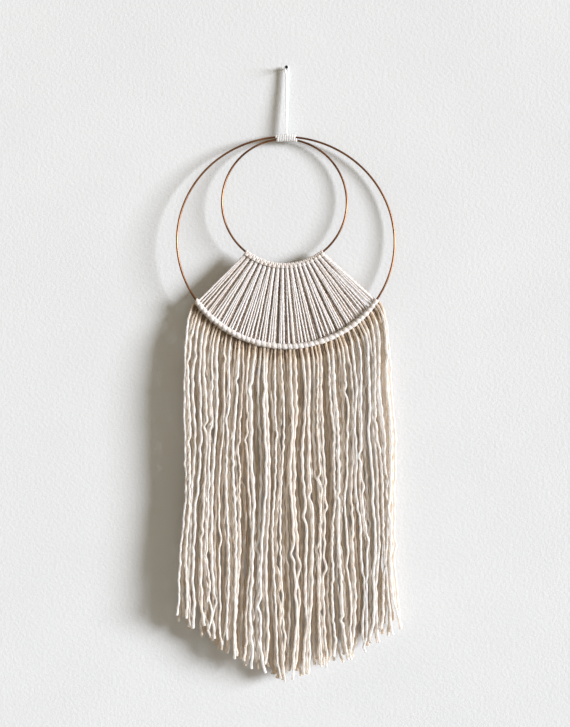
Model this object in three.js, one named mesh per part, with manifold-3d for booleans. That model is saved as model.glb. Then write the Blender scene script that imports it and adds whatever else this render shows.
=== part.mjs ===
import * as THREE from "three";
import { mergeVertices } from "three/addons/utils/BufferGeometryUtils.js";
import Module from "manifold-3d";

// A macrame wall hanging on two wire hoops, in millimetres, with +Z up. The wall is the plane
// y = 0, the hanging faces -Y, and the origin is where its nail enters the wall.

const GAP = 0.3; // left between pieces that touch

// The nail
const NAIL_LENGTH = 13.5;
const NAIL_RADIUS = 0.7;
const NAIL_HEAD_RADIUS = 1.9;
const NAIL_HEAD_THICKNESS = 1;
const NAIL_SIDES = 8;

// The cord of the hanging loop, and the lashing of the same cord round both hoops
const CORD_RADIUS = 1.2;
const CORD_SIDES = 8;
const LASHING_TURNS = 9;
const LASHING_PITCH = 2.7;
const LASHING_WALL = 2; // the cord, pressed flat on the wires
const LASHING_RIDGE = 0.45; // how far each turn stands proud of the groove beside it
const LASHING_SHIFT = 1.5; // the lashing sits a little right of the hoops' middle
const LASHING_SIDES = 12;

// The hoops, held by the lashing at their tops and leaning out of the plumb below it
const WIRE_RADIUS = 1.25;
const WIRE_SIDES = 6;
const WIRE_PITCH = 2 * WIRE_RADIUS + GAP;
const HUNG_AT = { x: -2, y: -7.5, z: -84.2 }; // between the two wires, under the lashing
const LEAN_DEG = 2.2;
const OUTER = {
  across: 130.1,
  down: 125.6,
  top: WIRE_PITCH / 2,
  middle: 0,
  swing: 0.0085, // to the right, for each mm down
  steps: 60,
};
const INNER = {
  across: 74.7,
  down: 75.8,
  top: -WIRE_PITCH / 2,
  middle: -0.6,
  swing: 0,
  steps: 40,
};

// The rows of knots on the hoops, by the angle from +X, with -90 at the bottom of the hoop. Each
// knot is two rings of its band, its groove and its crown. A size is half the band's thickness,
// and the band sags by a little below the wire's middle.
const LARKS_HEADS = {
  hoop: INNER,
  knots: 20,
  fromDeg: -128,
  toDeg: -52,
  crown: 3.9,
  groove: 3.0,
  depth: 3.5,
  sag: 0,
  sides: 6,
};
const BAND_TAPER = 0.85; // of its size at both ends
const HITCHES = {
  hoop: OUTER,
  knots: 40,
  fromDeg: -145.5,
  toDeg: -34,
  crown: 3.6,
  groove: 3.05,
  depth: 3.9,
  sag: 0.5,
  sides: 6,
};

// The strands that fan out between the two rows: each lark's head has three in front and three
// behind. Along the row from the middle of the head, and through the row's depth, at both ends.
const WEB_RADIUS = 1.15;
const WEB_SIDES = 3;
const HEAD = [
  { innerAlong: -0.8, innerDepth: -1.2, outerAlong: -3.7, outerDepth: 1.7 },
  { innerAlong: 0, innerDepth: -1.4, outerAlong: 0, outerDepth: 1.7 },
  { innerAlong: 0.8, innerDepth: -1.2, outerAlong: 3.7, outerDepth: 1.7 },
  { innerAlong: -1.5, innerDepth: 2, outerAlong: -2, outerDepth: 2.8 },
  { innerAlong: 0.6, innerDepth: 2.2, outerAlong: 2, outerDepth: 2.8 },
  { innerAlong: 2.2, innerDepth: 2, outerAlong: 5.8, outerDepth: 2.8 },
];
const WEB_UNEVEN = 1.4; // how far a strand strays along the hitches, to either side
const WEB_END = 1.9; // the strands end this far from the wire, inside the knots

// The fringe: its root strip under the hitches, and the loose strands
const STRIP = { inner: 4.55, outer: 6.2, front: -1.5, rear: 5.5, steps: 20 };
const STRANDS = 120;
const STRAND_RADIUS = 1.35;
const STRAND_SIDES = 3;
const STRAND_STEPS = 7;
const STEP_BUNCHING = 1.25; // the steps are shorter near the root
const LAYER_PITCH = 2.7;
// Where each strand in turn hangs, from the front (-) to the back (+)
const LAYERS = [-2.2, 0.6, 2.0, -1.2, 1.2, -2.4, 0.2, -1.6, 2.4, 0.4, 1.8, -2.0, 0.8, -0.6];
const ROOT_SQUEEZE = 0.2; // the layers lie this much closer at the roots
const ROOT_BACK = { left: 4.2, right: -0.2 }; // the roots lie this far behind the wire's middle
const SHOULDER = 15; // a strand leaves its knot outwards and bends down over this drop
const SHOULDER_SHARE = 0.45; // of the way to where its tip hangs
const TIPS = { left: -128, right: 134 }; // where the outermost tips hang
const HEM = [
  { x: -130, z: -664 },
  { x: -97, z: -684 },
  { x: -64, z: -705 },
  { x: -24, z: -727 },
  { x: -4, z: -733 },
  { x: 38, z: -722 },
  { x: 71, z: -708 },
  { x: 105, z: -690 },
  { x: 137, z: -668 },
];
const UNEVEN_CUT = 16; // the shortest strand ends this far above the hem's line
const LONG_WAVE = { least: 0.3, most: 1.3, shortest: 70, longest: 150 };
const SHORT_WAVE = { least: 0.1, most: 0.5, shortest: 24, longest: 45 };
const WAVE_START = 30; // the waves grow to their full size over this drop
const DRIFT = { reach: 2, across: 70, down: 250 }; // neighbours wander together
const CLUMPS = [
  { reach: -1.1, across: 12, down: 900 },
  { reach: -1.5, across: 23, down: -650 },
]; // neighbours draw together

const wasm = await Module();
wasm.setup();

// The same uneven numbers from 0 to 1 on every run.
function unevenNumbers(seed) {
  let state = seed;
  return () => {
    state = (Math.imul(state, 1664525) + 1013904223) >>> 0;
    return state / 4294967296;
  };
}

// The corners of an even polygon.
function polygon(radius, sides) {
  return Array.from({ length: sides }, (_, k) => {
    const turn = (2 * Math.PI * k) / sides;
    return new THREE.Vector2(radius * Math.cos(turn), radius * Math.sin(turn));
  });
}

// A closed body through rings of points. One that runs on into its own start has no ends.
function loft(rings, isEndless = false) {
  const sides = rings[0].length;
  const last = (rings.length - 1) * sides;
  const faces = [];
  for (let i = 0; i < (isEndless ? rings.length : rings.length - 1); i++) {
    const a = i * sides;
    const b = ((i + 1) % rings.length) * sides;
    for (let k = 0; k < sides; k++) {
      const next = (k + 1) % sides;
      faces.push(a + k, a + next, b + next, a + k, b + next, b + k);
    }
  }
  for (let k = 1; k < sides - 1 && !isEndless; k++) {
    faces.push(0, k + 1, k, last, last + k, last + k + 1);
  }
  return new THREE.BufferGeometry().setFromPoints(rings.flat()).setIndex(faces);
}

// A tube whose steps are even in the curve's own parameter.
function tube(curve, radius, sides, steps) {
  curve.getPointAt = (u, target) => curve.getPoint(u, target);
  curve.getTangentAt = (u, target) => curve.getTangent(u, target);
  const section = new THREE.Shape(polygon(radius, sides));
  return new THREE.ExtrudeGeometry(section, { steps, extrudePath: curve });
}

function solid(geometry) {
  geometry.deleteAttribute("normal");
  geometry.deleteAttribute("uv");
  const merged = mergeVertices(geometry, 1e-4);
  return new wasm.Manifold(
    new wasm.Mesh({
      numProp: 3,
      vertProperties: merged.getAttribute("position").array,
      triVerts: new Uint32Array(merged.getIndex().array),
    }),
  );
}

function joined(geometries) {
  return geometries.map(solid).reduce((whole, piece) => whole.add(piece));
}

function geometryOf(body) {
  const mesh = body.getMesh();
  const positions = new THREE.BufferAttribute(mesh.vertProperties, mesh.numProp);
  const faces = new THREE.BufferAttribute(mesh.triVerts, 1);
  return new THREE.BufferGeometry().setAttribute("position", positions).setIndex(faces);
}

// A point by a hoop, in the plane in which the hoops hang: at an angle from +X, so far outwards
// from the wire's middle and so far back.
function byHoop(hoop, angle, out = 0, depth = 0) {
  const normal = new THREE.Vector2(
    Math.cos(angle) / hoop.across,
    Math.sin(angle) / hoop.down,
  ).normalize();
  const x = hoop.middle + hoop.across * Math.cos(angle) + out * normal.x;
  const drop = hoop.down - hoop.down * Math.sin(angle) - out * normal.y;
  return new THREE.Vector3(x + hoop.swing * drop, depth, hoop.top - drop);
}

// The ring of points round a hoop's wire at one angle.
function ringOnHoop(hoop, angle, section) {
  return section.map((p) => byHoop(hoop, angle, p.x, p.y));
}

// The whole wire of a hoop, or with two angles the stretch of it that covers them.
function wire(hoop, radius, from, to) {
  const step = (2 * Math.PI) / hoop.steps;
  const first = from === undefined ? 0 : Math.floor(from / step) - 1;
  const count = from === undefined ? hoop.steps : Math.ceil(to / step) + 2 - first;
  const section = polygon(radius, WIRE_SIDES);
  const rings = Array.from({ length: count }, (_, i) =>
    ringOnHoop(hoop, (first + i) * step, section),
  );
  return loft(rings, from === undefined);
}

function angleOnRow(row, share) {
  return THREE.MathUtils.degToRad(row.fromDeg + share * (row.toDeg - row.fromDeg));
}

// A row of knots as one ridged band, which is tapered at both ends.
function knottedBand(row) {
  const rings = [];
  for (let i = 0; i <= 2 * row.knots; i++) {
    const isGroove = i % 2 === 0;
    const isEnd = i === 0 || i === 2 * row.knots;
    const size = (isGroove ? row.groove : row.crown) * (isEnd ? BAND_TAPER : 1);
    const section = polygon(1, row.sides).map(
      (p) => new THREE.Vector2(p.x * size + row.sag, (p.y * size * row.depth) / row.crown),
    );
    rings.push(ringOnHoop(row.hoop, angleOnRow(row, i / (2 * row.knots)), section));
  }
  return loft(rings);
}

// The strands of one lark's head, from the head to their hitches.
function strandsOfHead(index, chance) {
  const share = (index + 0.5) / LARKS_HEADS.knots;
  const inner = angleOnRow(LARKS_HEADS, share);
  const outer = angleOnRow(HITCHES, share);
  return HEAD.map((strand) => {
    const stray = WEB_UNEVEN * (2 * chance() - 1);
    const alongInner = strand.innerAlong / INNER.across;
    const alongOuter = (strand.outerAlong + stray) / OUTER.across;
    const path = new THREE.LineCurve3(
      byHoop(INNER, inner + alongInner, WEB_END, strand.innerDepth),
      byHoop(OUTER, outer + alongOuter, -WEB_END, strand.outerDepth),
    );
    return tube(path, WEB_RADIUS, WEB_SIDES, 1);
  });
}

function knottedWeb() {
  const chance = unevenNumbers(11);
  const pieces = [knottedBand(LARKS_HEADS), knottedBand(HITCHES)];
  for (let i = 0; i < LARKS_HEADS.knots; i++) {
    pieces.push(...strandsOfHead(i, chance));
  }
  const bores = [LARKS_HEADS, HITCHES].map((row) =>
    wire(row.hoop, WIRE_RADIUS + GAP, angleOnRow(row, 0), angleOnRow(row, 1)),
  );
  return geometryOf(joined(pieces).subtract(joined(bores)));
}

// The lashing: a ridged sleeve round both wires, along the hoops' tops.
function lashing() {
  const rings = [];
  const half = (LASHING_TURNS * LASHING_PITCH) / 2;
  const round = polygon(WIRE_RADIUS + GAP + LASHING_WALL, LASHING_SIDES);
  for (let i = 0; i <= 2 * LASHING_TURNS; i++) {
    const x = LASHING_SHIFT - half + (i * LASHING_PITCH) / 2;
    const sag = OUTER.down - Math.sqrt(OUTER.down ** 2 - x ** 2);
    const grow = i % 2 === 0 ? 1 - LASHING_RIDGE / round[0].x : 1;
    rings.push(
      round.map((p) => {
        const up = p.y * grow + (Math.sign(Math.round(p.y)) * WIRE_PITCH) / 2;
        return new THREE.Vector3(x, p.x * grow, up - sag);
      }),
    );
  }
  const reach = (half + 2 * LASHING_PITCH) / INNER.across;
  const top = Math.PI / 2 - LASHING_SHIFT / INNER.across;
  const bores = [OUTER, INNER].map((hoop) =>
    wire(hoop, WIRE_RADIUS + GAP, top - reach, top + reach),
  );
  return geometryOf(solid(loft(rings)).subtract(joined(bores)));
}

// The hanging loop: the middle between its two legs, how far each leg stands from it, and how far
// the pair has turned, from side by side at the nail to one behind the other at the lashing.
const OVER_NAIL = NAIL_RADIUS + GAP + CORD_RADIUS;
const LOOP = [
  { x: 0, y: -3.8, z: 0, half: OVER_NAIL, turnDeg: 0 },
  { x: 0.2, y: -4, z: -3.5, half: 1.9, turnDeg: 0 },
  { x: 0.4, y: -4.2, z: -8, half: 1.5, turnDeg: 3 },
  { x: 0.5, y: -4.5, z: -14, half: 1.4, turnDeg: 8 },
  { x: 0.5, y: -4.9, z: -24, half: 1.4, turnDeg: 18 },
  { x: 0.5, y: -5.5, z: -36, half: 1.4, turnDeg: 33 },
  { x: 0.4, y: -6.1, z: -48, half: 1.4, turnDeg: 51 },
  { x: 0.3, y: -6.6, z: -59, half: 1.4, turnDeg: 69 },
  { x: 0.3, y: -7.1, z: -69, half: 1.4, turnDeg: 84 },
  { x: 0.3, y: -7.5, z: -78.8, half: 1.4, turnDeg: 90 },
];

// The middle of one leg's cord, from the nail down.
function legOfLoop(side) {
  return LOOP.map((row) => {
    const turn = THREE.MathUtils.degToRad(row.turnDeg);
    const across = side * row.half * Math.cos(turn);
    const back = -side * row.half * Math.sin(turn);
    return new THREE.Vector3(row.x + across, row.y + back, row.z);
  });
}

function hangingLoop() {
  const overNail = [135, 90, 45].map((degrees) => {
    const angle = THREE.MathUtils.degToRad(degrees);
    return new THREE.Vector3(
      OVER_NAIL * Math.cos(angle),
      LOOP[0].y,
      OVER_NAIL * Math.sin(angle),
    );
  });
  const route = [...legOfLoop(-1).reverse(), ...overNail, ...legOfLoop(1)];
  return tube(new THREE.CatmullRomCurve3(route), CORD_RADIUS, CORD_SIDES, route.length - 1);
}

// The nail, turned about its length: its flat end in the wall's plane, its head in front.
function nail() {
  const profile = [
    new THREE.Vector2(0, 0),
    new THREE.Vector2(NAIL_RADIUS, 0),
    new THREE.Vector2(NAIL_RADIUS, NAIL_LENGTH - NAIL_HEAD_THICKNESS),
    new THREE.Vector2(NAIL_HEAD_RADIUS, NAIL_LENGTH - NAIL_HEAD_THICKNESS),
    new THREE.Vector2(NAIL_HEAD_RADIUS, NAIL_LENGTH),
    new THREE.Vector2(0, NAIL_LENGTH),
  ];
  return new THREE.LatheGeometry(profile, NAIL_SIDES);
}

// Height of the fringe's lower edge at a place across it.
function hemAt(x) {
  const right = HEM.findIndex((row) => row.x > x);
  const [a, b] = [HEM[right - 1], HEM[right]];
  return THREE.MathUtils.lerp(a.z, b.z, (x - a.x) / (b.x - a.x));
}

function wave(kind, chance) {
  return {
    reach: THREE.MathUtils.lerp(kind.least, kind.most, chance()),
    length: THREE.MathUtils.lerp(kind.shortest, kind.longest, chance()),
    start: 2 * Math.PI * chance(),
  };
}

// One loose strand: from its root, which is held in the strip, to its cut tip.
function strand(index, chance, hung) {
  const share = (index + 0.5) / STRANDS;
  const depth = LAYER_PITCH * LAYERS[index % LAYERS.length];
  const angle = angleOnRow(HITCHES, share);
  const held = (STRIP.inner + STRIP.outer) / 2;
  const back = THREE.MathUtils.lerp(ROOT_BACK.left, ROOT_BACK.right, share);
  const root = byHoop(OUTER, angle, held, back + ROOT_SQUEEZE * depth).applyMatrix4(hung);
  const ends = [0, 1].map((end) => byHoop(OUTER, angleOnRow(HITCHES, end), held));
  const across = (root.x - HUNG_AT.x - ends[0].x) / (ends[1].x - ends[0].x);
  const tip = THREE.MathUtils.lerp(TIPS.left, TIPS.right, across);
  const waves = [wave(LONG_WAVE, chance), wave(SHORT_WAVE, chance)];
  const length = root.z - hemAt(tip) - UNEVEN_CUT * chance() ** 2;
  const path = new THREE.Curve();
  path.getPoint = (t) => {
    const drop = length * t ** STEP_BUNCHING;
    const out =
      SHOULDER_SHARE * (1 - Math.exp(-drop / SHOULDER)) +
      ((1 - SHOULDER_SHARE) * drop) / length;
    const free = 1 - Math.exp(-drop / WAVE_START);
    const swing = [
      ...waves.map((w) => w.reach * Math.sin((2 * Math.PI * drop) / w.length + w.start)),
      ...[DRIFT, ...CLUMPS].map(
        (d) => d.reach * Math.sin(2 * Math.PI * (root.x / d.across + drop / d.down)),
      ),
    ].reduce((sum, reach) => sum + reach);
    return new THREE.Vector3(
      root.x + (tip - root.x) * out + free * swing,
      root.y + free ** 2 * ((1 - ROOT_SQUEEZE) * depth - back),
      root.z - drop,
    );
  };
  return tube(path, STRAND_RADIUS, STRAND_SIDES, STRAND_STEPS);
}

function fringe(hung) {
  const chance = unevenNumbers(29);
  const section = [
    new THREE.Vector2(STRIP.outer, STRIP.front),
    new THREE.Vector2(STRIP.outer, STRIP.rear),
    new THREE.Vector2(STRIP.inner, STRIP.rear),
    new THREE.Vector2(STRIP.inner, STRIP.front),
  ];
  const rings = Array.from({ length: STRIP.steps + 1 }, (_, i) =>
    ringOnHoop(OUTER, angleOnRow(HITCHES, i / STRIP.steps), section),
  );
  const strip = loft(rings).applyMatrix4(hung);
  const strands = Array.from({ length: STRANDS }, (_, i) => strand(i, chance, hung));
  return geometryOf(joined([strip, ...strands]));
}

function finish(colour, roughness, metalness) {
  return new THREE.MeshStandardMaterial({ color: colour, roughness, metalness });
}

function piece(name, geometry, material) {
  const mesh = new THREE.Mesh(geometry, material);
  mesh.name = name;
  return mesh;
}

const copper = finish("#b27a52", 0.3, 0.9);
const yarn = finish("#efe9df", 0.95, 0);
const cord = finish("#f6f4ef", 0.9, 0);
const darkSteel = finish("#25252b", 0.5, 0.7);

const hanging = new THREE.Group();

const hungPlane = new THREE.Group();
hungPlane.position.set(HUNG_AT.x, HUNG_AT.y, HUNG_AT.z);
hungPlane.rotation.x = THREE.MathUtils.degToRad(-LEAN_DEG);
hungPlane.updateMatrix();
hungPlane.add(
  piece("outer_hoop", wire(OUTER, WIRE_RADIUS), copper),
  piece("inner_hoop", wire(INNER, WIRE_RADIUS), copper),
  piece("top_lashing", lashing(), cord),
  piece("knotted_web", knottedWeb(), yarn),
);

hanging.add(
  piece("wall_nail", nail().rotateX(Math.PI), darkSteel),
  piece("hanging_loop", hangingLoop(), cord),
  hungPlane,
  piece("fringe", fringe(hungPlane.matrix), yarn),
);

export default hanging;
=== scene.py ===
import math

import bpy
import numpy as np
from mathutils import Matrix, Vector


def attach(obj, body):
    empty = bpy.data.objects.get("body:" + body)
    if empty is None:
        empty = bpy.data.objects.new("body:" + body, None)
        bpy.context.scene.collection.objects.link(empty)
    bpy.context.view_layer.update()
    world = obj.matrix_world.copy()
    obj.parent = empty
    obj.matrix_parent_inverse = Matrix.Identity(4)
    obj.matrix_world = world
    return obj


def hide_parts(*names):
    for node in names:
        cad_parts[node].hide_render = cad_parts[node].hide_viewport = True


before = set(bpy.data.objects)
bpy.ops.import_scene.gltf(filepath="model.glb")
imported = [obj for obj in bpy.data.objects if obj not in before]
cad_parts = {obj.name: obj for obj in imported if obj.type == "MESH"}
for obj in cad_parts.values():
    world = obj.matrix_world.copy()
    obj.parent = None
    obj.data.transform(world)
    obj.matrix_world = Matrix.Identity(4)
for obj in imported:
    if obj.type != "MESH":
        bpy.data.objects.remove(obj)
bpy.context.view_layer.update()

# A macrame wall hanging on two wire hoops. Its sizes are in millimetres, as the part states them,
# and every mesh is turned into metres as it is made. The hanging faces -Y, and the wall is y = 0.
MM = 0.001
TAU = 2 * math.pi
ACROSS = np.array([1.0, 0.0, 0.0])
BACK = np.array([0.0, 1.0, 0.0])

# The hoops and the plane in which they hang, as the part has them. across and down are half a
# hoop's width and height, and swing is how far it goes to the right for each millimetre down.
GAP = 0.3
WIRE_RADIUS = 1.25
WIRE_PITCH = 2 * WIRE_RADIUS + GAP
HUNG_AT = np.array([-2.0, -7.5, -84.2])
LEAN = math.radians(2.2)
OUTER = {"across": 130.1, "down": 125.6, "top": WIRE_PITCH / 2, "middle": 0, "swing": 0.0085}
INNER = {"across": 74.7, "down": 75.8, "top": -WIRE_PITCH / 2, "middle": -0.6, "swing": 0}

# The two rows of knots and the web between them, as the part has them
KNOTS = 20
LEGS = 2 * KNOTS
HITCH_SAG = 0.5  # the hitches hang this far below their wire
LARKS_HEADS = {"hoop": INNER, "from": math.radians(-128), "to": math.radians(-52)}
HITCHES = {"hoop": OUTER, "from": math.radians(-145.5), "to": math.radians(-34)}
WEB_RADIUS = 1.15
WEB_END = 1.9
WEB_UNEVEN = 1.4

# A lark's head's strands: how far along and how far back they start from the inner hoop's wire
# and end at the outer hoop's
HEAD = [
    {"inner_along": -0.8, "inner_depth": -1.2, "outer_along": -3.7, "outer_depth": 1.7},
    {"inner_along": 0.0, "inner_depth": -1.4, "outer_along": 0.0, "outer_depth": 1.7},
    {"inner_along": 0.8, "inner_depth": -1.2, "outer_along": 3.7, "outer_depth": 1.7},
    {"inner_along": -1.5, "inner_depth": 2.0, "outer_along": -2.0, "outer_depth": 2.8},
    {"inner_along": 0.6, "inner_depth": 2.2, "outer_along": 2.0, "outer_depth": 2.8},
    {"inner_along": 2.2, "inner_depth": 2.0, "outer_along": 5.8, "outer_depth": 2.8},
]

# The fringe's course, as the part has it
ROOT_OUT = (4.55 + 6.2) / 2  # the middle of the strip that holds the part's strands
STRANDS = 120
LAYER_PITCH = 2.7
LAYERS = [-2.2, 0.6, 2.0, -1.2, 1.2, -2.4, 0.2, -1.6, 2.4, 0.4, 1.8, -2.0, 0.8, -0.6]
ROOT_SQUEEZE = 0.2
ROOT_BACK = {"left": 4.2, "right": -0.2}
SHOULDER = 15
SHOULDER_SHARE = 0.45
TIPS = {"left": -128, "right": 134}
HEM_X = [-130, -97, -64, -24, -4, 38, 71, 105, 137]
HEM_Z = [-664, -684, -705, -727, -733, -722, -708, -690, -668]
UNEVEN_CUT = 16
LONG_WAVE = {"least": 0.3, "most": 1.3, "shortest": 70, "longest": 150}
SHORT_WAVE = {"least": 0.1, "most": 0.5, "shortest": 24, "longest": 45}
WAVE_START = 30
DRIFT = {"reach": 2, "across": 70, "down": 250}
CLUMPS = [
    {"reach": -1.1, "across": 12, "down": 900},
    {"reach": -1.5, "across": 23, "down": -650},
]

# The cord of the loop and of the lashing, and the nail, as the part has them
CORD_RADIUS = 1.2
LASHING_TURNS = 9
LASHING_PITCH = 2.7
LASHING_SHIFT = 1.5
NAIL_RADIUS = 0.7
NAIL_HEAD_RADIUS = 1.9
NAIL_LENGTH = 13.5

# How many sides the scene's tubes have
CORD_SIDES = 12
NAIL_SIDES = 24
WIRE_SIDES = 16
STRAND_SIDES = 9
TURN_SIDES = 6

# How their plies wind, in radians a millimetre
CORD_PLIES = {"plies": 4, "turn": TAU / 11}
YARN_PLIES = {"plies": 3, "turn": TAU / 17}
LOOSE_PLIES = {"plies": 3, "turn": TAU / 45}


# Camera, square to the wall, at the height of the picture's middle
PICTURE_MIDDLE = Vector((-1.8, 0, -354.6)) * MM
PICTURE_HEIGHT = 866.7 * MM
CAMERA_DISTANCE = 1.75
HANGING_DEPTH = 18 * MM

camera_data = bpy.data.cameras.new("camera")
camera_data.sensor_fit = "VERTICAL"
camera_data.angle = 2 * math.atan(PICTURE_HEIGHT / 2 / CAMERA_DISTANCE)
camera = bpy.data.objects.new("camera", camera_data)
camera.location = PICTURE_MIDDLE + Vector((0, -CAMERA_DISTANCE - HANGING_DEPTH, 0))
camera.rotation_euler = (math.pi / 2, 0, 0)
bpy.context.scene.collection.objects.link(camera)
bpy.context.scene.camera = camera
bpy.context.scene.view_settings.view_transform = "Standard"


class UnevenNumbers:
    """The same uneven numbers from 0 to 1 on every run, as the part's source draws them."""

    def __init__(self, seed):
        self.state = seed

    def next(self):
        self.state = (self.state * 1664525 + 1013904223) & 0xFFFFFFFF
        return self.state / 4294967296

    def between(self, low, high):
        return low + (high - low) * self.next()


# Materials


def new_material(name):
    material = bpy.data.materials.new(name)
    material.use_nodes = True
    tree = material.node_tree
    return material, tree, tree.nodes["Principled BSDF"]


def noise(tree, scale, detail, roughness=0.6):
    node = tree.nodes.new("ShaderNodeTexNoise")
    node.inputs["Scale"].default_value = scale
    node.inputs["Detail"].default_value = detail
    node.inputs["Roughness"].default_value = roughness
    place = tree.nodes.new("ShaderNodeTexCoord").outputs["Object"]
    tree.links.new(place, node.inputs["Vector"])
    return node.outputs["Fac"]


def ramp(tree, value, stops):
    node = tree.nodes.new("ShaderNodeValToRGB")
    while len(node.color_ramp.elements) < len(stops):
        node.color_ramp.elements.new(0.5)
    for element, (place, colour) in zip(node.color_ramp.elements, stops):
        element.position = place
        element.color = (*colour, 1)
    tree.links.new(value, node.inputs["Fac"])
    return node.outputs["Color"]


def feed(tree, socket, value):
    """Sets a socket to a number, or links another node's output to it."""
    if isinstance(value, (int, float)):
        socket.default_value = value
    else:
        tree.links.new(value, socket)


def math_node(tree, operation, a, b):
    node = tree.nodes.new("ShaderNodeMath")
    node.operation = operation
    feed(tree, node.inputs[0], a)
    feed(tree, node.inputs[1], b)
    return node.outputs[0]


def bump(tree, shader, height, strength, distance):
    node = tree.nodes.new("ShaderNodeBump")
    node.inputs["Strength"].default_value = strength
    node.inputs["Distance"].default_value = distance
    tree.links.new(height, node.inputs["Height"])
    tree.links.new(node.outputs["Normal"], shader.inputs["Normal"])


def mixed_surface(tree, share, shader, other):
    """The material's surface: its main shader, and a share of another one."""
    mix = tree.nodes.new("ShaderNodeMixShader")
    feed(tree, mix.inputs["Fac"], share)
    tree.links.new(shader.outputs["BSDF"], mix.inputs[1])
    tree.links.new(other.outputs["BSDF"], mix.inputs[2])
    tree.links.new(mix.outputs["Shader"], tree.nodes["Material Output"].inputs["Surface"])


# How a yarn's colour follows its strands' tones and its blotches, from shade by deep to pale. The lowest
# tones are painted shade: the shade stop colours the roots under the hitches and the web strands behind,
# and strands nearer the wall fall towards deep.
TONE_WEIGHT = 0.6
BLOTCH_WEIGHT = 0.8
BLOTCH_MIDDLE = 0.25
DEEP_AT = 0.2
PALE_AT = 0.8


def yarn_material(name, pale, deep, shade, fuzz, glowing):
    """Spun cotton. Its tone drifts from strand to strand and along each one, fine fibres are raised
    on it by fuzz, and light glows through it by the share glowing."""
    material, tree, shader = new_material(name)
    tone = tree.nodes.new("ShaderNodeAttribute")
    tone.attribute_name = "tone"
    blotch = math_node(tree, "SUBTRACT", noise(tree, scale=260, detail=4), BLOTCH_MIDDLE)
    mixed = math_node(
        tree, "ADD",
        math_node(tree, "MULTIPLY", tone.outputs["Fac"], TONE_WEIGHT),
        math_node(tree, "MULTIPLY", blotch, BLOTCH_WEIGHT),
    )
    # the first stop is a painted-shade brown, for strands given a shaded tone
    colour = ramp(tree, mixed, [(0, shade), (DEEP_AT, deep), (PALE_AT, pale)])
    tree.links.new(colour, shader.inputs["Base Color"])
    fibre = noise(tree, scale=2600, detail=4, roughness=0.7)
    bump(tree, shader, fibre, strength=fuzz, distance=0.6 * MM)
    shader.inputs["Roughness"].default_value = 0.95
    shader.inputs["Specular IOR Level"].default_value = 0.15
    shader.inputs["Sheen Weight"].default_value = 0.2
    shader.inputs["Sheen Roughness"].default_value = 0.6
    glow = tree.nodes.new("ShaderNodeBsdfTranslucent")
    tree.links.new(colour, glow.inputs["Color"])
    mixed_surface(tree, glowing, shader, glow)
    return material


def copper_material():
    """Copper plating, drawn and polished along the wire, a little tarnished in patches."""
    material, tree, shader = new_material("copper_plate")
    patches = noise(tree, scale=45, detail=5)
    tree.links.new(
        ramp(tree, patches, [(0.3, (0.14, 0.06, 0.027)), (0.7, (0.36, 0.178, 0.09))]),
        shader.inputs["Base Color"],
    )
    shader.inputs["Metallic"].default_value = 1
    streaks = noise(tree, scale=900, detail=3)
    rough = tree.nodes.new("ShaderNodeMapRange")
    rough.inputs["To Min"].default_value = 0.32
    rough.inputs["To Max"].default_value = 0.44
    tree.links.new(streaks, rough.inputs["Value"])
    tree.links.new(rough.outputs["Result"], shader.inputs["Roughness"])
    bump(tree, shader, streaks, strength=0.08, distance=0.2 * MM)
    return material


def steel_material():
    """Blued steel, with duller grey worn spots."""
    material, tree, shader = new_material("blued_steel")
    spots = noise(tree, scale=1200, detail=4)
    tree.links.new(
        ramp(tree, spots, [(0.4, (0.012, 0.012, 0.016)), (0.75, (0.07, 0.07, 0.08))]),
        shader.inputs["Base Color"],
    )
    shader.inputs["Metallic"].default_value = 0.9
    shader.inputs["Roughness"].default_value = 0.42
    bump(tree, shader, spots, strength=0.2, distance=0.2 * MM)
    return material


# deep and shade are partly painted shade: the warm browns of strands near the wall, rear web strands and
# roots under the hitches
YARN = yarn_material(
    "cream_yarn", fuzz=0.5, glowing=0.58,
    pale=(0.88, 0.873, 0.862), deep=(0.87, 0.74, 0.59), shade=(0.4, 0.3, 0.215),
)
WEB_YARN = yarn_material(
    "tight_yarn", fuzz=0.5, glowing=0.45,
    pale=(0.92, 0.895, 0.88), deep=(0.84, 0.73, 0.64), shade=(0.5, 0.38, 0.3),
)
CORD = yarn_material(
    "white_cord", fuzz=0.35, glowing=0.55,
    pale=(0.93, 0.92, 0.905), deep=(0.9, 0.885, 0.86), shade=(0.88, 0.86, 0.83),
)
COPPER = copper_material()
STEEL = steel_material()


# Mesh making


def unit(vectors):
    return vectors / np.linalg.norm(vectors, axis=-1, keepdims=True)


def swept(path, radius, sides, reference, plies=0, ply_depth=0.0, turn=0.0, flat=1.0, endless=False):
    """The rings of points of a tube along path. Its plies wind round it by turn radians a millimetre.
    flat is how wide it is along the reference, as a share of its thickness square to that."""
    path = np.asarray(path, float)
    if endless:
        tangent = unit(np.roll(path, -1, 0) - np.roll(path, 1, 0))
    else:
        tangent = unit(np.gradient(path, axis=0))
    side = unit(np.cross(tangent, reference))
    up = np.cross(tangent, side)
    steps = np.linalg.norm(np.diff(path, axis=0), axis=1)
    along = np.concatenate([[0], np.cumsum(steps)])[:, None]
    corner = TAU * np.arange(sides)[None, :] / sides
    angle = corner + turn * along
    reach = np.broadcast_to(np.reshape(radius, (-1, 1)), (len(path), 1))
    reach = reach * (1 + ply_depth * np.cos(plies * corner))
    return (
        path[:, None]
        + (reach * np.cos(angle))[..., None] * side[:, None]
        + (flat * reach * np.sin(angle))[..., None] * up[:, None]
    )


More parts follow.
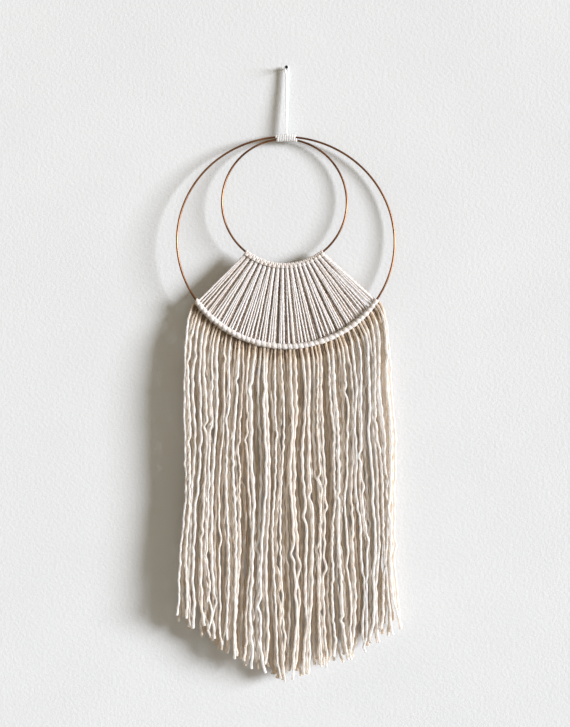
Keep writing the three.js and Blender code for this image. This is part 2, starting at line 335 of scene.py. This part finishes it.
class Bundle:
    """Many tubes that become one mesh. Each has its own tone, or one for each of its rings."""

    def __init__(self, sides):
        self.sides = sides
        self.corners, self.quads, self.ends, self.tones = [], [], [], []
        self.count = 0

    def tube(self, path, radius, tone=0.5, reference=BACK, endless=False, **shape):
        rings = swept(path, radius, self.sides, reference, endless=endless, **shape)
        self.add(rings, tone, endless)

    def add(self, rings, tone=0.5, endless=False):
        spans = len(rings) if endless else len(rings) - 1
        k = np.arange(self.sides)
        after = (k + 1) % self.sides
        a = (self.count + self.sides * np.arange(spans))[:, None]
        b = self.count + self.sides * ((np.arange(spans) + 1) % len(rings))[:, None]
        self.quads.append(np.stack([a + k, a + after, b + after, b + k], -1).reshape(-1, 4))
        if not endless:
            last = self.count + self.sides * (len(rings) - 1)
            self.ends.append(self.count + k[::-1])
            self.ends.append(last + k)
        self.corners.append(rings.reshape(-1, 3))
        self.tones.append(np.repeat(np.broadcast_to(tone, len(rings)), self.sides))
        self.count += len(rings) * self.sides

    def build(self, name, material, slot, node):
        quads = np.concatenate(self.quads)
        caps = np.array(self.ends, int).reshape(-1, self.sides)
        loops = np.concatenate([quads.ravel(), caps.ravel()])
        sizes = np.concatenate([np.full(len(quads), 4), np.full(len(caps), self.sides)])
        mesh = bpy.data.meshes.new(name)
        mesh.vertices.add(self.count)
        mesh.vertices.foreach_set("co", (np.concatenate(self.corners) * MM).ravel())
        mesh.loops.add(len(loops))
        mesh.loops.foreach_set("vertex_index", loops)
        mesh.polygons.add(len(sizes))
        mesh.polygons.foreach_set("loop_start", np.concatenate([[0], np.cumsum(sizes)[:-1]]))
        mesh.polygons.foreach_set("use_smooth", np.arange(len(sizes)) < len(quads))
        tone = mesh.attributes.new("tone", "FLOAT", "POINT")
        tone.data.foreach_set("value", np.concatenate(self.tones))
        mesh.update(calc_edges=True)
        mesh.materials.append(material)
        piece = bpy.data.objects.new(name, mesh)
        bpy.context.scene.collection.objects.link(piece)
        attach(piece, "root")
        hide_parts(node)
        return piece


def hang(points):
    """Points in the hoops' own upright plane, turned and moved to where the hoops lean and hang."""
    x, y, z = np.moveaxis(np.asarray(points, float), -1, 0)
    leant = np.stack(
        [x, y * math.cos(LEAN) + z * math.sin(LEAN), z * math.cos(LEAN) - y * math.sin(LEAN)], -1
    )
    return leant + HUNG_AT


def by_hoop(hoop, angle, out=0.0, depth=0.0):
    """Where a point lies beside a hoop's wire: at an angle from +X, so far outwards and so far back."""
    angle, out, depth = np.broadcast_arrays(np.asarray(angle, float), out, depth)
    normal = unit(np.stack([np.cos(angle) / hoop["across"], np.sin(angle) / hoop["down"]], -1))
    x = hoop["middle"] + hoop["across"] * np.cos(angle) + out * normal[..., 0]
    drop = hoop["down"] - hoop["down"] * np.sin(angle) - out * normal[..., 1]
    return np.stack([x + hoop["swing"] * drop, depth, hoop["top"] - drop], -1)


def angle_on_row(row, share):
    return row["from"] + share * (row["to"] - row["from"])


def between_sides(ends, share):
    return ends["left"] + share * (ends["right"] - ends["left"])


# The hanging loop: the middle between its two legs, how far each leg stands from it, and how far
# the pair has turned, from side by side at the nail to the left leg in front at the lashing

OVER_NAIL = NAIL_RADIUS + GAP + CORD_RADIUS
LOOP = [
    {"x": 0, "y": -3.8, "z": 0, "half": OVER_NAIL, "turn": 0},
    {"x": 0.2, "y": -4, "z": -3.5, "half": 1.75, "turn": 0},
    {"x": 0.4, "y": -4.2, "z": -8, "half": 1.2, "turn": 12},
    {"x": 0.5, "y": -4.5, "z": -14, "half": 1.05, "turn": 18},
    {"x": 0.5, "y": -4.9, "z": -24, "half": 1.05, "turn": 27},
    {"x": 0.5, "y": -5.5, "z": -36, "half": 1.05, "turn": 39},
    {"x": 0.4, "y": -6.1, "z": -48, "half": 1.05, "turn": 51},
    {"x": 0.3, "y": -6.6, "z": -59, "half": 1.05, "turn": 69},
    {"x": 0.3, "y": -7.1, "z": -69, "half": 1.05, "turn": 84},
    {"x": 0.3, "y": -7.5, "z": -78.8, "half": 1.05, "turn": 90},
]
LOOP_STEPS = 12  # from one of these rows to the next
TUCK = 2.2  # both ends run on this far down, under the lashing's turns
LEFT = -1
RIGHT = 1
CORD_TONE = 0.9


def leg_of_loop(side):
    points = []
    for row in LOOP:
        turn = math.radians(row["turn"])
        across = side * row["half"] * math.cos(turn)
        back = side * row["half"] * math.sin(turn)
        points.append((row["x"] + across, row["y"] + back, row["z"]))
    x, y, z = points[-1]
    return [*points, (x, y, z - TUCK)]


def smooth_line(points, per_span):
    """A smooth line through the points: uniform Catmull-Rom, mirrored past both ends."""
    p = np.asarray(points, float)
    p = np.concatenate([[2 * p[0] - p[1]], p, [2 * p[-1] - p[-2]]])
    t = np.linspace(0, 1, per_span, endpoint=False)[:, None]
    spans = [
        0.5 * (2 * b + (c - a) * t + (2 * a - 5 * b + 4 * c - d) * t**2
               + (3 * b - a - 3 * c + d) * t**3)
        for a, b, c, d in zip(p[:-3], p[1:-2], p[2:-1], p[3:])
    ]
    return np.concatenate([*spans, p[-2:-1]])


def hanging_loop():
    over_nail = [
        (OVER_NAIL * math.cos(angle), LOOP[0]["y"], OVER_NAIL * math.sin(angle))
        for angle in np.radians([135, 90, 45])
    ]
    line = smooth_line(
        [*reversed(leg_of_loop(LEFT)), *over_nail, *leg_of_loop(RIGHT)], LOOP_STEPS
    )
    bundle = Bundle(CORD_SIDES)
    bundle.tube(line, CORD_RADIUS, CORD_TONE, ply_depth=0.06, **CORD_PLIES)
    piece = bundle.build("hanging_loop_cord", CORD, "cord", "hanging_loop")


hanging_loop()


# The nail: a thin shank and a low round head, as distances from the wall and radii

NAIL_PROFILE = np.array([
    (0, NAIL_RADIUS),
    (NAIL_LENGTH - 1, NAIL_RADIUS),
    (NAIL_LENGTH - 1, NAIL_HEAD_RADIUS),
    (NAIL_LENGTH - 0.5, NAIL_HEAD_RADIUS),
    (NAIL_LENGTH - 0.15, 1.45),
    (NAIL_LENGTH, 0.5),
])


def nail():
    distance, radius = NAIL_PROFILE[:, :1], NAIL_PROFILE[:, 1:]
    corner = TAU * np.arange(NAIL_SIDES) / NAIL_SIDES
    y = np.broadcast_to(-distance, (len(NAIL_PROFILE), NAIL_SIDES))
    bundle = Bundle(NAIL_SIDES)
    bundle.add(np.stack([radius * np.sin(corner), y, radius * np.cos(corner)], -1))
    bundle.build("nail", STEEL, "dark_steel", "wall_nail")


nail()


# The hoops: smooth wire rings, with the butt weld that closes each one

HOOP_STEPS = 360
WELD_SWELL = 0.09
WELD_HALF_ANGLE = 1 / 60


def hoop_wire(name, hoop, weld_at):
    angle = TAU * np.arange(HOOP_STEPS) / HOOP_STEPS
    from_weld = (angle - weld_at + math.pi) % TAU - math.pi
    swell = 1 + WELD_SWELL * np.exp(-((from_weld / WELD_HALF_ANGLE) ** 2))
    bundle = Bundle(WIRE_SIDES)
    bundle.tube(hang(by_hoop(hoop, angle)), WIRE_RADIUS * swell, endless=True)
    bundle.build(name + "_wire", COPPER, "copper_wire", name)


hoop_wire("outer_hoop", OUTER, weld_at=math.radians(-88))
hoop_wire("inner_hoop", INNER, weld_at=math.radians(94))


# The lashing: one cord wound round both wires, its turns pressed flat against each other

LASHING_STEPS = 28  # in each turn
LASHING_REACH = WIRE_RADIUS + 0.75 * CORD_RADIUS
LASHING_LOOSE = 0.1
LASHING_THICKNESS = 0.72 * CORD_RADIUS
LASHING_FLAT = 2
LASHING_SQUARE = 2.5  # how squarely the turns pass round the two wires
TAPER_STEPS = 6


def lashing():
    chance = UnevenNumbers(5)
    turn = np.linspace(0, LASHING_TURNS, LASHING_TURNS * LASHING_STEPS + 1)
    angle = TAU * turn
    loose = [chance.between(0, LASHING_LOOSE) for _ in range(LASHING_TURNS + 2)]
    reach = LASHING_REACH + np.interp(turn, np.arange(len(loose)), loose)
    x = LASHING_SHIFT + (turn - LASHING_TURNS / 2) * LASHING_PITCH
    sag = OUTER["down"] - np.sqrt(OUTER["down"] ** 2 - x**2)
    up = reach * np.sin(angle) + np.tanh(LASHING_SQUARE * np.sin(angle)) * WIRE_PITCH / 2
    path = hang(np.stack([x, -reach * np.cos(angle), up - sag], -1))
    radius = np.full(len(turn), LASHING_THICKNESS)
    radius[:TAPER_STEPS] *= np.linspace(0.5, 1, TAPER_STEPS)
    radius[-TAPER_STEPS:] *= np.linspace(1, 0.5, TAPER_STEPS)
    bundle = Bundle(CORD_SIDES)
    bundle.tube(
        path, radius, CORD_TONE, reference=ACROSS, ply_depth=0.04, flat=LASHING_FLAT, **CORD_PLIES
    )
    bundle.build("lashing_turns", CORD, "cord", "top_lashing")


lashing()


# The knotted web. A pair in round brackets is a range, from which each turn or strand draws.

HITCH_TURNS = 6  # on each leg: two of three strands each
HITCH = {
    "reach": 1.05, "swell": (-0.2, 0.25), "crown": 0.6, "slant": (0.6, 1.4),
    "stray": (-0.15, 0.15), "thick": 0.78, "wide": 1.0, "tone": (0.45, 0.95),
}
SLANT_SHARE = {"left": 1.3, "right": 0.3}
HEAD_TURNS = 2  # of each lark's head, of three strands each
HEAD_TURN = {
    "reach": 0.9, "rise": [[0, 0.2, -0.12], [-0.12, 0.2, -0.12]], "stray": (-0.08, 0.12),
    "lean": [0.5, -0.5], "thick": 0.48, "wide": 0.72, "drop": 1.3, "tone": (0.4, 0.8),
}
HEAD_BAR = {
    "out": 1.3, "pitch": 0.95, "bow": 0.25, "depth": 1.0, "front": 2.3, "stray": (-0.1, 0.25),
    "round": 0.92, "length": 0.98, "radius": 0.58, "paler": 0.1,
}
# How the web strands look. The strands behind get a low tone, painted shade between the front ones.
WEB_LOOK = {
    "step": 1.4, "wander": 0.16, "wanders": (1.5, 4), "radius": (0.76, 1.04), "swell": 0.05,
    "swells": (3, 6), "front_tone": 0.6, "rear_shade_tone": -0.25, "tone": (0, 0.4),
}
KNOT_RING = TAU * np.arange(20) / 20  # the points round one turn


def knot_ring(bundle, row, share, reach, slant, size, tone, drop=1.0, sag=0.0):
    """One turn of a strand round a hoop's wire. slant leans it over, drop draws its outer side down."""
    hoop, along = row["hoop"], angle_on_row(row, share)
    out = reach * np.cos(KNOT_RING)
    out = np.where(out > 0, out * drop, out) + sag
    angle = along + slant * np.cos(KNOT_RING) / hoop["across"]
    path = hang(by_hoop(hoop, angle, out, reach * np.sin(KNOT_RING)))
    wire = hang(by_hoop(hoop, along)) - hang(by_hoop(hoop, along - 0.01))
    flat = size["wide"] / size["thick"]
    bundle.tube(path, size["thick"], tone, reference=wire, flat=flat, endless=True)


def hitches():
    """Each leg's turns round the outer hoop, which lean to the left, most of all on the left."""
    chance = UnevenNumbers(17)
    bundle = Bundle(TURN_SIDES)
    for leg in range(LEGS):
        swell = chance.between(*HITCH["swell"])
        slant = chance.between(*HITCH["slant"]) * between_sides(SLANT_SHARE, leg / LEGS)
        for turn in range(HITCH_TURNS):
            place = leg * HITCH_TURNS + turn + 0.5 + chance.between(*HITCH["stray"])
            crown = HITCH["crown"] * math.sin(math.pi * (turn + 0.5) / HITCH_TURNS)
            reach = WIRE_RADIUS + HITCH["reach"] + swell + crown
            knot_ring(bundle, HITCHES, place / (LEGS * HITCH_TURNS), reach, slant, HITCH,
                      chance.between(*HITCH["tone"]), sag=HITCH_SAG)
    return bundle


def larks_heads():
    """Each head's two turns over the inner hoop, and the bar that crosses in front of its legs."""
    chance = UnevenNumbers(23)
    bundle = Bundle(TURN_SIDES)
    half = 0.5 * (LARKS_HEADS["to"] - LARKS_HEADS["from"]) / KNOTS
    bow = np.linspace(-1, 1, 11)
    for knot in range(KNOTS):
        tone = chance.between(*HEAD_TURN["tone"])
        for turn in range(HEAD_TURNS):
            for strand in range(3):
                place = (knot * HEAD_TURNS + turn) * 3 + strand + 0.5
                reach = WIRE_RADIUS + HEAD_TURN["reach"] + HEAD_TURN["rise"][turn][strand]
                knot_ring(bundle, LARKS_HEADS, place / (KNOTS * HEAD_TURNS * 3),
                          reach + chance.between(*HEAD_TURN["stray"]), HEAD_TURN["lean"][turn],
                          HEAD_TURN, tone, drop=HEAD_TURN["drop"])
        middle = angle_on_row(LARKS_HEADS, (knot + 0.5) / KNOTS)
        for strand in range(3):
            out = HEAD_BAR["out"] + HEAD_BAR["pitch"] * strand + HEAD_BAR["bow"] * bow**2
            front = HEAD_BAR["front"] + chance.between(*HEAD_BAR["stray"])
            depth = -HEAD_BAR["depth"] - front * np.sqrt(1 - HEAD_BAR["round"] * bow**2)
            path = hang(by_hoop(INNER, middle + HEAD_BAR["length"] * half * bow, out, depth))
            bundle.tube(path, HEAD_BAR["radius"], tone + HEAD_BAR["paler"], ply_depth=0.08,
                        **YARN_PLIES)
    return bundle


def web_strands():
    """The strands that fan out from each lark's head. Those behind are given a darker tone, as painted
    shade in the gaps between the front ones.
    """
    chance = UnevenNumbers(11)
    looks = UnevenNumbers(101)
    bundle = Bundle(STRAND_SIDES)
    for knot in range(KNOTS):
        share = (knot + 0.5) / KNOTS
        for strand in HEAD:
            stray = WEB_UNEVEN * (2 * chance.next() - 1)
            inner = angle_on_row(LARKS_HEADS, share) + strand["inner_along"] / INNER["across"]
            outer = (angle_on_row(HITCHES, share)
                     + (strand["outer_along"] + stray) / OUTER["across"])
            start = by_hoop(INNER, inner, WEB_END, strand["inner_depth"])
            end = by_hoop(OUTER, outer, -WEB_END, strand["outer_depth"])
            steps = int(np.linalg.norm(end - start) / WEB_LOOK["step"])
            t = np.linspace(0, 1, steps)[:, None]
            wander = WEB_LOOK["wander"] * np.sin(math.pi * t) * np.sin(
                TAU * (looks.between(*WEB_LOOK["wanders"]) * t + looks.next())
            )
            radius = WEB_RADIUS * looks.between(*WEB_LOOK["radius"]) * (
                1 + WEB_LOOK["swell"] * np.sin(TAU * looks.between(*WEB_LOOK["swells"]) * t[:, 0])
            )
            # painted shade: strands behind take the low rear tone
            tone = WEB_LOOK["front_tone" if strand["inner_depth"] < 0 else "rear_shade_tone"]
            bundle.tube(hang(start + (end - start) * t + wander * ACROSS), radius,
                        tone + looks.between(*WEB_LOOK["tone"]), ply_depth=0.13, **YARN_PLIES)
    return bundle


web_strands().build("web_strands", WEB_YARN, "yarn", "knotted_web")
hitches().build("hitch_turns", WEB_YARN, "yarn", "knotted_web")
larks_heads().build("larks_head_turns", WEB_YARN, "yarn", "knotted_web")


# The fringe

STRAND_RADIUS = 1.45
STRAND_RANGE = (0.68, 1.08)  # of that radius, from strand to strand
REAR_SWELL = 0.22  # the strands nearest the wall are looser and thicker
UNEVEN_RADIUS = {"swell": 0.07, "over": (30, 80)}
CRIMPS = {"least": 0.04, "most": 0.27, "shortest": 8, "longest": 26}
CRIMPS_ACROSS = 3
CRIMPS_BACK = 2
KINKS = {"tries": 3, "share": 0.6, "least": 1.0, "most": 3.4, "shortest": 4, "longest": 9}
TIP_BEND = {"over": 28, "reach": 5.5}
FRAY = {"over": 7, "swell": 0.22}
RING_STEP = 1.45
TUCKED_IN = {"out": 2.2, "back": 0.6, "squeeze": 0.5}  # the strands start inside the hitches
# Painted shade at the fringe's roots: the tone is lowered just under the hitches, where they shade the
# strands, more on the left and for strands further back
ROOT_SHADE = {"left": 1.25, "right": 1.0, "over": 11, "front": 0.6, "more_behind": 0.5}
# The fringe strands' tones: strands nearer the wall get a lower, darker tone as painted shade, with a
# random spread
STRAND_TONE = {"least": 0.05, "front": 0.65, "uneven": (0, 0.3)}
FRINGE_PIECES = 4


def wave(kind, chance):
    reach = chance.between(kind["least"], kind["most"])
    length = chance.between(kind["shortest"], kind["longest"])
    return reach, length, TAU * chance.next()


def swings(waves, drop):
    return sum(reach * np.sin(TAU * drop / length + start) for reach, length, start in waves)


def crimps(drop, looks):
    """How a strand's crimps and kinks carry it across and back, all the way down."""
    across = swings([wave(CRIMPS, looks) for _ in range(CRIMPS_ACROSS)], drop)
    back = swings([wave(CRIMPS, looks) for _ in range(CRIMPS_BACK)], drop)
    for _ in range(KINKS["tries"]):
        middle = looks.between(0.05, 1) * drop[-1]
        reach = looks.between(KINKS["least"], KINKS["most"]) * (1 if looks.next() > 0.5 else -1)
        half = looks.between(KINKS["shortest"], KINKS["longest"])
        if looks.next() < KINKS["share"]:
            across = across + reach * np.exp(-(((drop - middle) / half) ** 2))
    return across, back


def near_tip(drop, over):
    """From 0 to 1 over a strand's last millimetres."""
    return np.clip((drop - drop[-1]) / over + 1, 0, 1)


def strand_radius(drop, inwards, looks):
    fray = 1 + FRAY["swell"] * near_tip(drop, FRAY["over"])
    uneven = 1 + UNEVEN_RADIUS["swell"] * np.sin(
        TAU * drop / looks.between(*UNEVEN_RADIUS["over"]) + TAU * looks.next()
    )
    radius = STRAND_RADIUS * looks.between(*STRAND_RANGE) * fray * uneven
    return radius * (1 + REAR_SWELL * inwards)


def fringe_strand(index, inwards, chance, looks):
    """A loose strand's middle line, radii and the painted shade at its root, a darker tone just below
    the hitches where they shade it. It keeps to the course of the part's solid strand, and starts
    further in, inside the hitches."""
    share = (index + 0.5) / STRANDS
    depth = LAYER_PITCH * LAYERS[index % len(LAYERS)]
    angle = angle_on_row(HITCHES, share)
    back = between_sides(ROOT_BACK, share)
    root = hang(by_hoop(OUTER, angle, ROOT_OUT, back + ROOT_SQUEEZE * depth))
    left, right = (by_hoop(OUTER, HITCHES[end], ROOT_OUT)[0] for end in ("from", "to"))
    tip = between_sides(TIPS, (root[0] - HUNG_AT[0] - left) / (right - left))
    waves = [wave(LONG_WAVE, chance), wave(SHORT_WAVE, chance)]
    length = root[2] - np.interp(tip, HEM_X, HEM_Z) - UNEVEN_CUT * chance.next() ** 2

    drop = np.linspace(0, length, int(length / RING_STEP))
    out = SHOULDER_SHARE * (1 - np.exp(-drop / SHOULDER)) + (1 - SHOULDER_SHARE) * drop / length
    free = 1 - np.exp(-drop / WAVE_START)
    swing = swings(waves, drop) + sum(
        d["reach"] * np.sin(TAU * (root[0] / d["across"] + drop / d["down"]))
        for d in (DRIFT, *CLUMPS)
    )
    crimp_x, crimp_y = crimps(drop, looks)
    bend = looks.between(-1, 1) * TIP_BEND["reach"] * near_tip(drop, TIP_BEND["over"]) ** 2
    path = np.stack(
        [
            root[0] + (tip - root[0]) * out + free * (swing + crimp_x) + bend,
            root[1] + free**2 * ((1 - ROOT_SQUEEZE) * depth - back) + free * crimp_y,
            root[2] - drop,
        ],
        -1,
    )
    tucked_back = TUCKED_IN["back"] * back + TUCKED_IN["squeeze"] * ROOT_SQUEEZE * depth
    tuck = hang(by_hoop(OUTER, angle, TUCKED_IN["out"], tucked_back))
    radius = strand_radius(drop, inwards, looks)
    # painted shade: the tone is darkened over the first millimetres below the hitches
    below = np.concatenate([[0, 0], drop])
    shade = between_sides(ROOT_SHADE, share) * np.exp(-((below / ROOT_SHADE["over"]) ** 2))
    shade = shade * (ROOT_SHADE["front"] + ROOT_SHADE["more_behind"] * inwards)
    return (
        np.concatenate([[tuck, (tuck + root) / 2], path]),
        np.concatenate([radius[:1], radius[:1], radius]),
        shade,
    )


def fringe():
    """The strands from left to right, in four pieces. Those near the wall are given a darker, warmer
    tone, as painted shade.
    """
    chance = UnevenNumbers(29)
    looks = UnevenNumbers(211)
    bundles = [Bundle(STRAND_SIDES) for _ in range(FRINGE_PIECES)]
    for index in range(STRANDS):
        inwards = 0.5 + 0.5 * LAYERS[index % len(LAYERS)] / max(LAYERS)
        path, radius, shade = fringe_strand(index, inwards, chance, looks)
        # painted shade: the further back a strand hangs, the darker its tone
        tone = STRAND_TONE["least"] + STRAND_TONE["front"] * (1 - inwards)
        bundles[FRINGE_PIECES * index // STRANDS].tube(
            path, radius, tone + looks.between(*STRAND_TONE["uneven"]) - shade,
            ply_depth=0.2, **LOOSE_PLIES,
        )
    for number, bundle in enumerate(bundles, 1):
        bundle.build(f"fringe_strands_{number}", YARN, "yarn", "fringe")


fringe()


# Stage, in metres: a pale wall with one face, a pale floor, and soft light from the right

WALL_TURN = math.radians(-2)  # the hanging is turned a little on its nail against the wall
WALL_GAP = 0.0006
WALL_MIDDLE_Z = -0.2
WALL_SIZE = (3.2, 2.3)
FLOOR_Z = -1.35
FLOOR_SIZE = (5, 5)
LIGHT_FROM = (2.14, -1.0, 0.3)


def stage_plane(name, size, material):
    mesh = bpy.data.meshes.new(name)
    w, h = size[0] / 2, size[1] / 2
    mesh.from_pydata([(-w, -h, 0), (w, -h, 0), (w, h, 0), (-w, h, 0)], [], [(0, 1, 2, 3)])
    mesh.materials.append(material)
    plane = bpy.data.objects.new(name, mesh)
    bpy.context.scene.collection.objects.link(plane)
    return plane


def plaster_material():
    """Painted plaster that shows from the room only, so that the hanging's back can be looked at."""
    material, tree, shader = new_material("wall_paint")
    mottle = noise(tree, scale=6, detail=4)
    tree.links.new(
        ramp(tree, mottle, [(0.3, (0.60, 0.60, 0.598)), (0.7, (0.625, 0.625, 0.62))]),
        shader.inputs["Base Color"],
    )
    shader.inputs["Roughness"].default_value = 0.8
    bump(tree, shader, noise(tree, scale=260, detail=3), strength=0.25, distance=1.2 * MM)
    face = tree.nodes.new("ShaderNodeNewGeometry")
    clear = tree.nodes.new("ShaderNodeBsdfTransparent")
    mixed_surface(tree, face.outputs["Backfacing"], shader, clear)
    return material


def floor_material():
    material, tree, shader = new_material("pale_floor")
    mottle = noise(tree, scale=3, detail=3)
    tree.links.new(
        ramp(tree, mottle, [(0.3, (0.54, 0.53, 0.52)), (0.7, (0.58, 0.57, 0.56))]),
        shader.inputs["Base Color"],
    )
    shader.inputs["Roughness"].default_value = 0.6
    return material


wall = stage_plane("wall", WALL_SIZE, plaster_material())
wall.rotation_euler = (math.pi / 2, 0, WALL_TURN)
wall.location = (0, WALL_GAP, WALL_MIDDLE_Z)
floor = stage_plane("floor", FLOOR_SIZE, floor_material())
floor.location = (0, -1, FLOOR_Z)


window = bpy.data.lights.new("window", "SUN")
window.angle = 0.34
window.energy = 8.4
window.color = (0.885, 0.925, 1.0)
lamp = bpy.data.objects.new("window", window)
lamp.rotation_euler = Vector(LIGHT_FROM).to_track_quat("Z", "Y").to_euler()
bpy.context.scene.collection.objects.link(lamp)

world = bpy.data.worlds.new("pale_room")
world.use_nodes = True
world.node_tree.nodes["Background"].inputs["Color"].default_value = (1.0, 0.88, 0.65, 1)
world.node_tree.nodes["Background"].inputs["Strength"].default_value = 0.4
bpy.context.scene.world = world
